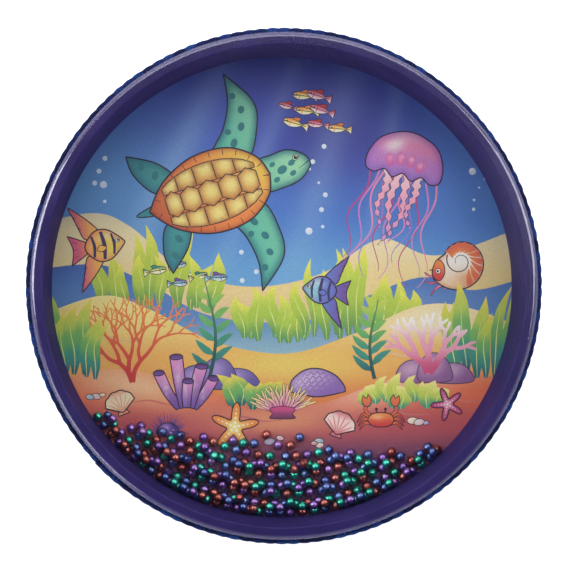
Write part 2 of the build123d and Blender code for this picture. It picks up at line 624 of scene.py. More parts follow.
def hills():
    far = fade(56j, -26j, (214, 204, 176), (240, 224, 176), (240, 214, 150), (222, 190, 160))
    ground((-170+34j, -122+46j, -96+38j, -62+10j, -20+0j, 24+8j, 62+30j, 100+20j, 170+46j), far)
    near = fade(26j, -46j, (58, 92, 176), (84, 132, 196), (150, 190, 206))
    near = glow(near, LAVENDER, 70-22j, 40, 14, strength=0.6)
    ground((-170+8j, -118+14j, -84+2j, -46-18j, 10-22j, 48-8j, 88+6j, 122-2j, 170+12j), near)


def dunes():
    back = fade(6j, -74j, (240, 226, 170), (242, 212, 128), (240, 178, 92), (230, 130, 72))
    back = glow(back, LEMON, -96-12j, 34, 14, -8, 0.7)
    back = glow(back, (250, 240, 214), 96-20j, 40, 12, 10, 0.8)
    back = glow(back, (240, 222, 110), 4-50j, 50, 12, strength=0.7)
    ground((-170-26j, -116-6j, -84-14j, -44-34j, 2-42j, 44-30j, 86-12j, 120-14j, 170-34j), back)
    front = fade(-46j, -128j, (242, 152, 96), (230, 112, 76), (188, 82, 90), (116, 60, 98), (72, 42, 86))
    front = glow(front, (248, 206, 160), -92-62j, 40, 12, -10, 0.9)
    front = glow(front, (246, 196, 170), 66-64j, 44, 10, 12, 0.9)
    front = glow(front, (240, 176, 120), -6-84j, 40, 9, strength=0.7)
    ground((-170-70j, -112-52j, -70-58j, -26-72j, 20-74j, 62-60j, 104-50j, 170-70j), front)
    for low, span, colour in (
        (-122-34j, 34, (226, 190, 140)), (52-44j, 40, (232, 192, 150)), (88-30j, 36, (230, 196, 150)),
        (-100-74j, 44, (214, 120, 104)), (-40-84j, 40, (200, 106, 120)), (48-80j, 46, (206, 112, 112)),
        (96-72j, 30, (212, 118, 104)),
    ):
        ripple = [low + span * part for part in (0, 0.35+0.06j, 0.7-0.01j, 1)]
        page.line(path(*ripple), colour, 0.2, 1.5, 0.2)


def frond(base, high, lean, sway, width, *colours):
    """A blade of seaweed that waves as it rises and comes to a point."""
    rise = np.linspace(0, 1, max(8, round(high / 3)))
    spine = base + high * rise * (1j + lean * rise) + sway * np.sin(rise * 5.2 + base.real) * rise
    paint = fade(base, base + high * (1j + lean), *(colours or (DEEP_TEAL, TEAL, GREEN, LIME, YELLOW)))
    page.line(spine, paint, width * 0.25, width * 0.8, width, width * 0.75, 0.1)
    page.line(spine[: len(spine) * 3 // 4], (226, 232, 140), 0.2, 0.7, 0.2)


def weed_bed(middle, spread, count, high, seed, *colours):
    dice = random.Random(seed)
    for step in range(count):
        off = spread * (2 * (step + dice.random()) / count - 1)
        tall = high * dice.uniform(0.55, 1.0) * (1 - 0.3 * abs(off) / spread)
        foot = middle + off + 1j * dice.uniform(-3, 2)
        lean = off / spread * 0.22 + dice.uniform(-0.1, 0.1)
        frond(foot, tall, lean, dice.uniform(2, 5), dice.uniform(7, 12), *colours)


def kelp(base, high, lean, side):
    """A tall stalk with leaves to left and right in turn."""
    rise = np.linspace(0, 1, 30)
    spine = base + high * rise * 1j + lean * np.sin(rise * 4.0) * side
    leaf_paint = fade(base, base + high * 1j, (26, 92, 100), TEAL, (120, 186, 96), LIME)
    for number, where in enumerate(range(3, 29, 2)):
        hand = 1 if number % 2 else -1
        foot = spine[where]
        reach = (17 - where * 0.28) * heading(90 - hand * 52)
        leaf = path(foot, foot + reach * 0.5 + 1.2j * hand, foot + reach)
        page.line(leaf, leaf_paint, 0.6, 4.6, 3.6, 0.1)
    page.line(spine, fade(base, base + high * 1j, (24, 80, 88), (90, 150, 90)), 2.4, 1.8, 0.6)


def turtle(motif):
    skin = fade(-50+0j, 62+0j, (52, 140, 150), (96, 192, 168), (164, 222, 176))
    shade = ((34, 108, 128), 3.0, 0.75)
    fore = curve(24+12j, 37+27j, 42+45j, 31+68j, 31+68j, 27+51j, 18+36j, 5+22j)
    fore_spots = np.array((21+25j, 29+33j, 33+43j, 31+53j, 20+33j))
    hind = curve(-22+15j, -30+28j, -47+38j, -47+38j, -46+25j, -36+10j)
    hind_spots = np.array((-33+21j, -40+29j))
    limbs = ((fore, fore_spots, 18+16j, 4, -24), (hind, hind_spots, -30+12j, 0, 12))
    for outline, spots, pivot, near_turn, far_turn in limbs:
        for side, turn in ((1, near_turn), (-1, far_turn)):
            mirrored = np.positive if side == 1 else np.conj
            limb = hinged(mirrored(outline), mirrored(pivot), turn)
            motif.draw(limb, skin, 0.9, shade)
            for number, spot in enumerate(hinged(mirrored(spots), mirrored(pivot), turn)):
                motif.draw(oval(spot, 3.1 - 0.3 * number, 2.1, 60 * side, 12), (44, 124, 132))
    motif.draw(curve(*both_sides(-38+3j, -47+2j, -52+0.3j)), skin, 0.8)
    motif.draw(curve(30+9j, 40+11j, 51+11j, 60+5j, 62-2j, 54-9j, 42-11j, 30-9j), skin, 0.9, shade)
    for spot, across in ((44+0j, 3.4), (51+2.5j, 2.4), (50-4j, 2.2), (39+5j, 2.0), (39-5j, 2.2)):
        motif.draw(oval(spot, across, across * 0.75, 20, 12), (48, 132, 136))
    motif.draw(oval(54.5+5j, 2.2, 1.8, 30, 14), (206, 232, 190), 0.4)
    motif.draw(oval(54.6+5j, 1.5, 1.3, 30, 12), INK)
    motif.dot(55+5.5j, 0.4, WHITE)
    motif.line(path(61.5+0.5j, 58-1j, 54-2.4j), INK, 0.7, 0.2)
    rim = fade(-40-20j, 34+24j, (198, 92, 52), ORANGE, YELLOW)
    back = curve(*both_sides(36+0j, 31+13j, 15+24j, -8+25j, -29+16j, -42+2j))
    motif.draw(back, rim, 1.0, ((168, 74, 50), 2.2, 0.6))
    back = counterclockwise(back)
    for outer, inner in list(zip(grown(back, -0.8), grown(back, -4.4)))[::6]:
        motif.line([outer, (outer + inner) / 2, inner], (120, 62, 44), 0.6, 0.5)
    scutes(motif)


def scutes(motif):
    """The plates of the turtle's back: a row along each side, then one along the middle."""
    def edge(x):
        return x + 19.5j * math.sqrt(max(0.1, 1 - ((x + 3) / 36) ** 2))

    def plate(corners):
        sides = zip(corners, [*corners[1:], corners[0]])
        outline = np.concatenate([np.linspace(a, b, 5)[:-1] for a, b in sides])
        paint = glow((206, 128, 50), LEMON, outline.mean() + 1 + 1j, 6.5, strength=0.95)
        motif.draw(outline, paint, 0.6, ((150, 92, 48), 1.2, 0.5))

    marks = (28, 16, 3, -10, -22, -32)
    spans = [(start, (start + end) / 2, end) for start, end in zip(marks, marks[1:])]
    for start, middle, end in spans:
        corners = np.array((start + 7j, edge(start), edge(middle), edge(end), end + 7j))
        plate(corners)
        plate(corners.conj())
    for start, middle, end in spans:
        plate(both_sides(start + 5j, middle + 8.5j, end + 5j))


def jellyfish(motif):
    dice = random.Random(5)
    tints = (MAGENTA, (206, 130, 200), (236, 140, 180), (150, 120, 206))
    drop = np.linspace(0, 1, 26)
    for step in range(11):
        foot = -21 + 4.2 * step - 1j
        high = dice.uniform(44, 70)
        sway = (2 + 3 * drop) * np.sin(drop * 9 + step * 1.3)
        spine = foot - 1j * high * drop + sway + foot.real * 0.25 * drop
        motif.line(spine, tints[step % 4], 1.2, 0.9, 0.4)
    drop = np.linspace(0, 1, 34)
    frill = 5.5 - 4.6 * drop + 1.7 * np.sin(drop * 44)
    for step, (foot, high) in enumerate(((-9, 38), (-3, 48), (4, 44), (10, 34))):
        spine = foot - 1j * high * drop + 3.2 * np.sin(drop * 8 + step * 1.9) * drop
        paint = fade(foot + 0j, foot - 1j * high, (248, 206, 214), PINK, (206, 150, 214))
        motif.line(spine, paint, *frill, ink=0.35)
    rim = [18-3.6j, 12-0.4j, 6-4.2j, 0-0.6j, -6-4.2j, -12-0.4j, -18-3.6j]
    dome = curve(24-1j, *rim, -24-1j, -24+9j, -17+20j, -1+26j, 16+21j, 23.5+10j)
    paint = fade(28j, -4j, (250, 196, 212), (238, 142, 190), (196, 130, 206), (160, 128, 212))
    paint = glow(paint, WHITE, -9+16j, 7, 4, 35, 0.85)
    motif.draw(dome, paint, 0.8, ((146, 84, 176), 3.0, 0.6))
    for spot in (-10+6j, -3.5+8j, 3.5+8j, 10+6j):
        paint = glow((214, 96, 168), (250, 190, 216), spot + 1j, 2.2)
        motif.draw(oval(spot, 3.0, 4.2, -spot.real * 3, 14), paint)
    for x in (-18, -12, -6, 0, 6, 12, 18):
        low = x + (1 if x % 12 else 3.5) * 1j
        motif.line(path(low, x * 0.97 + 5j, x * 0.9 + 11j), (206, 110, 182), 0.9, 0.2)


def angelfish(motif, front, middle, back):
    fin = fade(-4+0j, -26+0j, middle, back)
    upper = curve(-2+10j, -10+22j, -24+35j, -24+35j, -19+20j, -14+7j)
    tail = curve(-12+3j, -20+8j, -28+12j, -28+12j, -25+0j, -28-12j, -28-12j, -20-8j, -12-3j)
    for outline in (upper, upper.conj(), tail):
        motif.draw(outline, fin, 0.7)
    for x, y in ((-16, 15), (-19, 24), (-16, -15), (-19, -24), (-21, 5), (-21, -5), (-21.5, 0)):
        tip = x - 4 + 1j * (y + (5 if y > 9 else -5 if y < -9 else y * 0.3))
        motif.line([x + 1j * y, (x + 1j * y + tip) / 2, tip], INK, 0.5, 0.3)
    body = curve(*both_sides(17+0.6j, 12+6j, 4+12j, -5+12.5j, -12+7j, -15+2j))
    paint = fade(18+0j, -16+0j, front, front, middle, middle)
    motif.draw(body, glow(paint, WHITE, 4+7j, 8, 3, 10, 0.5), 0.8, (back, 2.4, 0.45))
    for x, half, width in ((7, 8.4, 2.4), (-1, 11.2, 3.4), (-9, 8.6, 2.6)):
        stripe = path(x - 1j * half, x + 1.4 + 0j, x + 1j * half)
        motif.line(stripe, (64, 48, 104), width * 0.7, width, width * 0.7)
    motif.dot(11.4+2.2j, 1.8, WHITE, 0.4)
    motif.dot(11.8+2.3j, 0.95, INK)
    motif.draw(curve(2-2j, -3+0.4j, -6-3j, -2-5j), fin, 0.5)


def nautilus(motif):
    for step in range(8):
        reach = 9 + 5 * math.sin(step * 2.4)
        way = heading(150 + 11 * step)
        foot = -13-9j + 0.5 * step - 0.7j * step
        bend = foot + reach * 0.6 * way + 1.6j * (-1) ** step
        paint = fade(foot, foot + 12 * way, PINK, ROSE)
        motif.line(path(foot, bend, foot + reach * way), paint, 2.0, 1.6, 0.4, ink=0.3)
    turns = np.radians(np.linspace(-150, 150, 60))
    whorl = (21 * np.exp(-0.0021 * np.degrees(turns + math.radians(150)))) * np.exp(1j * turns)
    mouth = path(whorl[-1], -16+1j, -19-6j, whorl[0])
    paint = fade(-14-14j, 16+14j, (246, 226, 196), WHITE, (250, 224, 188))
    paint = glow(paint, (232, 170, 120), 6-12j, 12, 6)
    motif.draw(np.concatenate([whorl, mouth[1:-1]]), paint, 0.9, ((206, 132, 88), 2.6, 0.6))
    for angle in range(-70, 150, 22):
        radius = 20.2 * math.exp(-0.0021 * (angle + 150))
        outer = heading(angle, radius)
        inner = heading(angle + 26, radius * 0.45)
        bend = heading(angle + 4, radius * 0.74)
        motif.line(path(outer, bend, inner), fade(outer, inner, CORAL, ORANGE), 5.0, 3.2, 0.2)
    coil = np.radians(np.linspace(150, 560, 44))
    spiral = 9.4 * np.exp(-0.16 * (coil - coil[0])) * np.exp(1j * coil) * np.exp(-0.02j)
    motif.line(spiral, INK, 0.8, 0.6, 0.3)
    hood = curve(-15.5+2j, -11-1j, -11-8j, -15-12j, -19-7j)
    motif.draw(hood, fade(-12+0j, -16-12j, ORANGE, RED), 0.6)
    motif.dot(-15-5.4j, 1.7, WHITE, 0.4)
    motif.dot(-15.2-5.5j, 0.85, INK)


def branching(motif, foot, way, length, width, depth, dice, paint):
    """A stem that parts in two, and each part in two again."""
    bend = foot + 0.55 * length * way * cmath.rect(1, dice.uniform(-0.2, 0.2))
    tip = foot + length * way
    motif.line(path(foot, bend, tip, step=2.2), paint, width, width * 0.85, width * 0.74)
    motif.draw(oval(tip, width * 0.37, count=8), paint)
    if depth:
        for side in (1, -1):
            turn = cmath.rect(1, side * dice.uniform(0.24, 0.5))
            shorter = length * dice.uniform(0.72, 0.9)
            branching(motif, tip, way * turn, shorter, width * 0.74, depth - 1, dice, paint)


def coral_tree(motif, seed, leans, stem, paint):
    """Leaning stems of a length, a width and a number of partings."""
    dice = random.Random(seed)
    for lean in leans:
        branching(motif, 0j, 1j * heading(lean), *stem, dice, paint)


def fan_coral(motif, seed, low, tip):
    coral_tree(motif, seed, (34, 8, -20), (15, 3.6, 5), fade(0j, 52j, low, tip))


def staghorn(motif, seed, low, tip):
    coral_tree(motif, seed, (40, -36, 2), (14, 6.4, 3), fade(0j, 40j, low, tip, WHITE))


def tube_sponges(motif, low, high, inner):
    tubes = ((-14, 26, 8, -7), (13, 22, 8, 7), (-5, 38, 9.5, -3), (6, 31, 9, 5), (0, 20, 8, 1))
    for foot, tall, width, lean in tubes:
        top = foot + lean + 1j * tall
        spine = path(foot * 0.4 + 0j, foot + 0.45j * tall, top)
        paint = fade(0j, 1j * tall, low, high)
        paint = glow(paint, WHITE, foot - 1.5 + 0.6j * tall, 1.6, 9, strength=0.5)
        motif.line(spine, paint, width * 0.7, width * 0.92, width, ink=0.7)
        motif.draw(oval(top, width * 0.52, 2.2, -lean), fade(top + 2j, top - 2j, inner, low), 0.6)


def brain_coral(motif, pale, deep):
    dome = curve(-22+0j, -22+0j, -20+9j, -10+17j, 2+18j, 14+13j, 21+5j, 22+0j, 22+0j, 0-4j)
    motif.draw(dome, fade(-6+18j, 6-4j, pale, deep), 0.8, (deep, 4.0, 0.7))
    for row in range(5):
        high = 1 + 3.4 * row
        half = 19.5 * math.sqrt(max(0, 1 - (high / 19) ** 2))
        x = np.linspace(-half, half, max(10, round(half * 2.4)))
        wave = high + 1.2 * np.sin(x * 1.25 + row * 2) - 0.02 * x * x * high / 19
        motif.line(x + 1j * wave, deep, 0.3, 0.9, 0.9, 0.3)


def starfish(motif, pale, deep):
    ways = np.radians(np.arange(0, 360, 5))
    outline = (10.5 + 5.8 * np.cos(5 * ways) + 0.9 * np.cos(10 * ways)) * np.exp(1j * ways)
    motif.draw(outline, glow(deep, pale, 0j, 9), 0.8, (deep, 1.6, 0.6))
    for arm in range(5):
        for step in range(1, 5):
            motif.dot(heading(72 * arm, 3.1 * step), 0.95 - 0.13 * step, WHITE)
    motif.dot(0j, 1.1, WHITE)


def scallop(motif, pale, deep):
    ways = np.radians(np.linspace(-62, 62, 45))
    edge = (17 - 3 * (ways / 1.1) ** 2 + 0.7 * np.abs(np.sin(ways * 6.5))) * np.exp(1j * ways)
    motif.draw(curve(-3+5j, -3+5j, 1+2.5j, 1-2.5j, -3-5j, -3-5j), deep, 0.7)
    outline = np.concatenate([edge, [0+2.4j, -1.2+0j, 0-2.4j]])
    motif.draw(outline, fade(0j, 17+0j, deep, pale, pale, deep), 0.8)
    for angle in range(-50, 51, 20):
        way = heading(angle)
        motif.line([3 * way, 8 * way, (15.2 - abs(angle) * 0.04) * way], deep, 0.4, 0.9, 0.5)


def urchin(motif):
    dice = random.Random(8)
    for step in range(34):
        way = heading(step * 180 / 33 + dice.uniform(-3, 3))
        motif.line([5 * way, 10 * way, dice.uniform(15, 20) * way], (84, 58, 140), 1.5, 0.9, 0.2)
    body = curve(-9.5+0j, -8+6j, 0+9.5j, 8+6j, 9.5+0j, 6-2.4j, -6-2.4j)
    motif.draw(body, glow((74, 50, 130), (172, 130, 206), -2+5j, 5), 0.6)
    for spot in (-5+3j, 0+5j, 5+3j, -2+1j, 3+0.6j):
        motif.dot(spot, 0.7, (206, 172, 226))


def little_fish(motif, pale, deep):
    sides = both_sides(9+0.4j, 4+3.7j, -3+3j, -8+0.9j, -13.5+4.4j, -13.5+4.4j)
    motif.draw(curve(*sides, -11.5+0j), fade(3.5j, -3.5j, deep, pale, WHITE), 0.45)
    motif.draw(curve(2+3.6j, -2+6j, -5+5.4j, -4+2.9j), deep, 0.4)
    motif.line(path(3.6+3j, 3+0j, 3.6-3j), deep, 0.8, 0.9, 0.7)
    motif.dot(6+0.7j, 0.7, INK)


def school(place, turn, count, seed, flip, *tints):
    dice = random.Random(seed)
    way = heading(turn)
    for step in range(count):
        along = 13 * (step % 3) - 9 * (step // 3 % 2) + dice.uniform(-3, 3)
        spot = place + way * complex(along, 9 * (step // 3) + dice.uniform(-2, 2))
        tilt, size = turn + dice.uniform(-9, 9), dice.uniform(0.5, 0.72)
        little_fish(Motif(spot, size, tilt, flip), *tints[step % len(tints)])


def crab(motif):
    for side in (1, -1):
        for step in range(3):
            foot = side * 7 + (1 - 2.2 * step) * 1j
            knee = foot + side * (8 - step) + (4 - 1.4 * step) * 1j
            toe = knee + side * 5 - (7 - 0.6 * step) * 1j
            motif.line(path(foot, knee, toe), fade(foot, toe, ORANGE, RED), 2.4, 2.2, 0.5, ink=0.45)
        arm = path(side * 7 + 3j, side * 13 + 8j, side * 12 + 13j)
        motif.line(arm, CORAL, 2.6, 2.8, ink=0.45)
        claw = curve(10+12j, 8+17j, 11+22j, 11+22j, 12+18j, 15+21j, 15+21j, 16+16j, 13.5+12j)
        motif.draw(side * claw.real + 1j * claw.imag, fade(12j, 22j, CORAL, ORANGE), 0.55)
        motif.line([side * 3 + 5j, side * 3.4 + 7j, side * 3.8 + 9j], INK, 1.3, 1.0)
        motif.dot(side * 3.8 + 9.4j, 1.3, INK)
    body = curve(-11+0j, -8+5j, 0+6.5j, 8+5j, 11+0j, 6-5j, -6-5j)
    motif.draw(body, glow(fade(6j, -5j, ORANGE, RED), (252, 206, 150), -3+3j, 5, 2.4, strength=0.8), 0.7)


def anemone(motif, low, tip):
    for row, count, reach in ((0, 15, 24), (1, 12, 19), (2, 9, 14)):
        for step in range(count):
            way = heading(20 + 140 * (step + 0.5 * (row % 2)) / (count - 1))
            foot = 7 * way.real + 3j
            bend = foot + 0.6 * reach * way + 1.6 * math.sin(step * 2.1 + row)
            spine = path(foot, bend, foot + reach * way + 1.4 * math.cos(step * 1.7))
            paint = fade(foot, foot + reach * way, low, tip, LEMON)
            motif.line(spine, paint, 3.2, 2.6, 2.4, 1.2, ink=0.3)
    stalk = curve(-11+5j, -9+0j, -11-4j, 11-4j, 9+0j, 11+5j, 0+7j)
    motif.draw(stalk, fade(6j, -4j, low, (110, 50, 96)), 0.5)


def rocks(motif, pale, deep):
    corners = ((1, -0.4), (0.9, 0.3), (0.45, 0.9), (-0.3, 1), (-0.85, 0.5), (-1, -0.4), (0, -0.6))
    for spot, across, high in ((-14+3j, 13, 10), (13+2j, 14, 9), (0+5j, 12, 13)):
        lit = spot + complex(-0.25 * across, 0.4 * high)
        paint = glow(deep, pale, lit, across * 0.75, high * 0.6, 15)
        block = curve(*(spot + complex(across * x, high * y) for x, y in corners))
        motif.draw(block, paint, 0.5)


def pebbles(seed, places):
    dice = random.Random(seed)
    tints = ((222, 190, 196), (170, 150, 200), (240, 214, 176), (196, 120, 130), (150, 176, 196))
    for place in places:
        for tint in dice.sample(tints, 3):
            spot = place + complex(dice.uniform(-7, 7), dice.uniform(-2, 2))
            across = dice.uniform(1.8, 3.8)
            paint = glow(tint, WHITE, spot + complex(-0.3, 0.3) * across, across * 0.7, strength=0.7)
            page.draw(oval(spot, across, across * 0.62, dice.uniform(-12, 12)), paint, 0.45)


def bubbles(seed, columns):
    dice = random.Random(seed)
    for foot, high, count in columns:
        for step in range(count):
            spot = foot + 1j * high * (step + dice.random()) / count + dice.uniform(-6, 6)
            radius = dice.choice((0.7, 0.9, 1.1, 1.6, 2.3))
            paint = glow((208, 226, 244), WHITE, spot + complex(-0.3, 0.35) * radius, radius * 0.75)
            page.dot(spot, radius, paint)


def reef():
    """The whole picture, from the back of it to the front."""
    water()
    hills()
    bubbles(3, ((-112+52j, 44, 7), (22+30j, 60, 8), (122+46j, 40, 7), (-20+2j, 34, 5)))
    school(8+104j, -10, 8, 41, True, (LEMON, ORANGE), (PINK, RED))
    weed_bed(-78-14j, 36, 12, 58, 21, (104, 160, 84), (184, 208, 70), (238, 234, 92))
    weed_bed(-6-34j, 22, 7, 40, 27, (92, 156, 96), (176, 206, 74), (240, 236, 96))
    weed_bed(44-32j, 40, 13, 62, 22, (96, 156, 90), (178, 206, 72), (240, 236, 90))
    school(-66+4j, 8, 5, 42, False, (AQUA, VIOLET), (LEMON, TEAL))
    jellyfish(Motif(76+72j, 1, -14))
    turtle(Motif(-42+60j, 1, 18))
    nautilus(Motif(112+16j, 0.95, 4))
    angelfish(Motif(-112+26j, 0.78, 10), YELLOW, (250, 190, 90), ROSE)
    angelfish(Motif(24-2j, 0.66, -6, True), AQUA, PERIWINKLE, VIOLET)
    dunes()
    fan_coral(Motif(-94-60j, 0.96), 14, RED, ORANGE)
    weed_bed(-130-56j, 14, 7, 78, 23)
    rocks(Motif(-40-62j, 0.95), (172, 150, 212), (98, 84, 160))
    weed_bed(124-56j, 20, 8, 70, 24)
    kelp(-46-58j, 64, 4, 1)
    kelp(58-58j, 50, 3, -1)
    rocks(Motif(96-58j, 0.9), (206, 170, 200), (140, 92, 150))
    staghorn(Motif(92-54j, 0.85), 31, (206, 74, 120), PINK)
    brain_coral(Motif(22-66j, 0.8), (226, 206, 236), (142, 106, 182))
    tube_sponges(Motif(-60-76j, 0.84), VIOLET, (226, 150, 206), (86, 44, 110))
    weed_bed(-16-76j, 18, 9, 28, 25, DEEP_TEAL, GREEN, YELLOW)
    weed_bed(74-74j, 24, 10, 26, 26, TEAL, LIME, LEMON)
    anemone(Motif(0-80j, 0.7), (214, 80, 140), PINK)
    starfish(Motif(-30-88j, 0.9, 12), LEMON, ORANGE)
    crab(Motif(62-84j, 0.75))
    scallop(Motif(34-92j, 0.8, 70), (252, 222, 214), (222, 122, 130))
    scallop(Motif(-100-78j, 0.75, 110), CREAM, SALMON)
    urchin(Motif(-72-92j, 0.7))
    starfish(Motif(104-74j, 0.62, 40), PINK, MAGENTA)
    pebbles(6, (-8-96j, 22-98j, 84-86j, -118-68j))


# The picture's mesh

GRID = 2.4  # mm between the picture's corners, away from its outlines
WELD = 0.004  # mm, corners this close are one


def inside(outline, spots):
    """Which of the spots an outline goes round."""
    start, end = outline[None, :], np.roll(outline, -1)[None, :]
    spots = spots[:, None]
    left = ((end - start).conj() * (spots - start)).imag > 0
    from_below = start.imag <= spots.imag
    to_below = end.imag <= spots.imag
    rising = from_below & ~to_below & left
    falling = ~from_below & to_below & ~left
    return rising.sum(axis=1) != falling.sum(axis=1)


def even_grid(spacing, lines):
    """Places all over the picture, apart from those that are close to a line."""
    rows = np.arange(-PRINT_R, PRINT_R, spacing * math.sqrt(3) / 2)
    columns = np.arange(-PRINT_R, PRINT_R, spacing)
    spots = columns[None, :] + spacing / 2 * (np.arange(len(rows)) % 2)[:, None] + 1j * rows[:, None]
    spots = spots[np.abs(spots) < PRINT_R]
    cell = spacing / 3
    taken = set()
    for spot in lines:
        x, y = round(spot.real / cell), round(spot.imag / cell)
        taken.update((x + i, y + j) for i in (-1, 0, 1) for j in (-1, 0, 1))
    return np.array([s for s in spots if (round(s.real / cell), round(s.imag / cell)) not in taken])


def picture_mesh(edge_r):
    """Corners and triangles that follow every outline, and a colour for each triangle's corners."""
    edge = edge_r * np.exp(2j * np.pi * np.arange(AROUND) / AROUND)
    outlines = [outline for outline, _ in shapes[1:]]
    lines = [edge, *outlines]
    joins, first = [], 0
    for line in lines:
        places = range(first, first + len(line))
        joins += zip(places, (*places[1:], first))
        first += len(line)
    spots = np.concatenate(lines)
    spots = np.concatenate([spots, even_grid(GRID, spots)])
    flat = [Vector((spot.real, spot.imag)) for spot in spots]
    corners, _, triangles, *_ = delaunay_2d_cdt(flat, joins, [], 0, WELD)
    triangles = np.array(triangles)
    places = np.array([complex(*corner) for corner in corners])[triangles]
    middles = places.mean(axis=1)
    owner = np.zeros(len(middles), int)
    for number, outline in enumerate(outlines, 1):
        near = (middles.real > outline.real.min()) & (middles.real < outline.real.max())
        near &= (middles.imag > outline.imag.min()) & (middles.imag < outline.imag.max())
        near = np.nonzero(near)[0]
        owner[near[inside(outline, middles[near])]] = number
    colours = np.ones((len(triangles), 3, 4))
    for number in np.unique(owner):
        mine = owner == number
        colours[mine, :, :3] = light(shapes[number][1](places[mine].ravel())).reshape(-1, 3, 3)
    return corners, triangles, colours


# The printed head

BORDER = (46, 40, 92)  # the print round the picture, on the shoulder and the collar
SHOULDER_STEPS = 8


def printed_drumhead():
    """The picture's triangles, with their edge drawn up over the shoulder into a collar."""
    reef()
    under_round = SHOULDER - film
    corner_r, corner_z = collar_r - SHOULDER, drum_low + SHOULDER
    corners, triangles, colours = picture_mesh(corner_r / MM)
    mesh = bpy.data.meshes.new("printed_drumhead")
    flat = [(x * MM, y * MM, drum_low + film) for x, y in corners]
    mesh.from_pydata(flat, [], triangles.tolist())
    paint = mesh.color_attributes.new("paint", "FLOAT_COLOR", "CORNER")
    paint.data.foreach_set("color", colours.ravel())
    piece = bpy.data.objects.new("printed_drumhead", mesh)
    bpy.context.scene.collection.objects.link(piece)
    with editing(piece):
        choose_open_edges(piece)
        here_r, here_z = corner_r, drum_low + film
        for step in range(1, SHOULDER_STEPS + 2):
            turn = min(step, SHOULDER_STEPS) * math.pi / 2 / SHOULDER_STEPS
            next_r = corner_r + under_round * math.sin(turn)
            next_z = corner_z - under_round * math.cos(turn)
            if step > SHOULDER_STEPS:
                next_z = drum_low + drum_high - collar_low
            draw_out(next_z - here_z, next_r / here_r)
            here_r, here_z = next_r, next_z
    thicken(piece, use_quality_normals=True)
    border_the_print(mesh)
    smooth(piece)
    dress(piece, printed_film())
    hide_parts("printed_head")
    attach(piece, "drum")


def border_the_print(mesh):
    """Gives the shoulder and the collar one dark colour."""
    paint = mesh.color_attributes["paint"].data
    dark = (*light(BORDER), 1)
    for face in mesh.polygons:
        if off_axis(face.center) > PRINT_R * MM:
            for loop in face.loop_indices:
                paint[loop].color = dark


# The woven band

RIBS = 134  # slanted yarns in one turn
RIB_COLUMNS = 10  # mesh columns across one of them
COURSES = 4  # rows of yarns, slanted by turns
COURSE_ROWS = 14  # mesh rows across one of them
SLANT = 1.5  # ribs that a yarn leans by across its course
SHIFT = 0.35  # ribs from one course's yarns to the next one's
BREAK = 0.5  # ribs that are lost at the cut end of the lap
FULLNESS = 0.7  # power of the wave across a yarn, rounder than a plain wave below 1
TUCK_POWER = 4  # how late along a yarn its ends begin to dip under the next course
TUCK_LEFT = 0.35  # of a yarn's height, that is left at its ends
UNEVEN = 0.2  # of a yarn's height, by which one yarn differs from another
PLIES, TWIST = 3, 2.5  # strands of a yarn, and turns that they take along it
RELIEF = 0.7 * MM
PROUD = 0.5 * MM  # how far the yarns stand out of the plain hoop
SELVAGE_ROUND = 0.9 * MM
SELVAGE_CROWN, SELVAGE_TUCK = 0.35 * MM, 0.6 * MM  # rise of the rounded edge, and its fall to the root
LAP_START, LAP_END = math.radians(241), math.radians(223)
LAP_RISE = 0.8 * MM
SEALED = 3.6 * MM  # melted strip along the cut end of the lap
SEALED_HEIGHT, SEALED_SHADE = 0.6, 0.05  # where it lies between the least and the most of a yarn
CLEARANCE = 0.05 * MM  # from the collar under the band


def woven_band():
    """A plain hoop with rounded selvages, woven in relief on its outer side."""
    piece = fresh(
        "woven_webbing", bpy.ops.mesh.primitive_cylinder_add,
        vertices=RIBS * RIB_COLUMNS, radius=band_r, depth=band_high - band_low,
        end_fill_type="NOTHING", location=(0, 0, (band_low + band_high) / 2),
    )
    root_r, edge_r = band_inner_r + CLEARANCE, band_r - SELVAGE_ROUND
    with editing(piece):
        choose(piece, "edges", lambda e: not e.is_boundary)
        bpy.ops.mesh.subdivide(number_cuts=COURSES * COURSE_ROWS - 1)
        for up in (1, -1):
            choose(piece, "edges", lambda e: e.is_boundary and (e.verts[0].co.z - drum_high / 2) * up > 0)
            draw_out(SELVAGE_CROWN * up, edge_r / band_r)
            draw_out(-SELVAGE_TUCK * up, root_r / edge_r)
        choose_open_edges(piece)
        bpy.ops.mesh.bridge_edge_loops()
        face_outwards()
    weave(piece.data, root_r)
    smooth(piece, 80)
    dress(piece, blue_webbing())
    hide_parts("woven_band")
    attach(piece, "drum")


